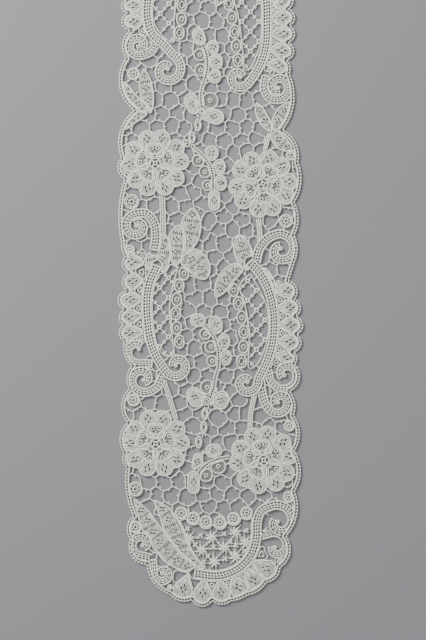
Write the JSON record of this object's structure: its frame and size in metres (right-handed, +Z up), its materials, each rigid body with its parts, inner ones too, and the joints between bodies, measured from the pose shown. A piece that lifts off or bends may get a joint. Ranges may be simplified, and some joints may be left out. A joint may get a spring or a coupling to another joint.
{
  "type": "lace lappet",
  "caption": "Flat needle-lace lappet: a strip with a scalloped rounded end and a straight taped heading, its flowers, scrolled bands and leaves joined by bars.",
  "frame": {"origin": "on the resting underside, at the middle of the lappet's width and length", "axes": "+Y along the strip, from the rounded end towards the heading; +Z up, out of the right side of the lace; +X across the strip to the right"},
  "size_m": [0.1109, 0.47, 0.0017],
  "materials": {
    "lace": "matte ivory linen thread",
    "tape": "matte woven linen tape"
  },
  "bodies": {
    "root": {"bead_chain_left_1": "lace", "bead_chain_left_2": "lace", "bead_chain_right_1": "lace", "bead_chain_right_2": "lace", "curl_left_1": "lace", "curl_left_2": "lace", "curl_left_3": "lace", "curl_left_4": "lace", "curl_left_5": "lace", "curl_right_1": "lace", "curl_right_2": "lace", "curl_right_3": "lace", "curl_right_4": "lace", "curl_right_5": "lace", "edging_left": "lace", "edging_right": "lace", "filling_left_1": "lace", "filling_left_2": "lace", "filling_right_1": "lace", "filling_right_2": "lace", "filling_shell": "lace", "flower_left_1": "lace", "flower_left_2": "lace", "flower_left_3": "lace", "flower_right_1": "lace", "flower_right_2": "lace", "flower_right_3": "lace", "ground_1": "lace", "ground_2": "lace", "ground_3": "lace", "ground_4": "lace", "ground_5": "lace", "ground_6": "lace", "heading": "tape", "leaf_spray_left_1": "lace", "leaf_spray_left_2": "lace", "leaf_spray_right_1": "lace", "leaf_spray_right_2": "lace", "medallion_left_1": "lace", "medallion_left_2": "lace", "medallion_right_1": "lace", "medallion_right_2": "lace", "scallops_left_1": "lace", "scallops_left_2": "lace", "scallops_right_1": "lace", "scallops_right_2": "lace", "scallops_shell": "lace", "shell_band": "lace", "shell_leaf_inner": "lace", "shell_leaf_outer": "lace", "shell_rings": "lace", "side_leaves_left": "lace", "side_leaves_right": "lace", "sprig_1": "lace", "sprig_2": "lace", "sprig_3": "lace", "sprig_4": "lace", "sprig_5": "lace"}
  },
  "joints": []
}
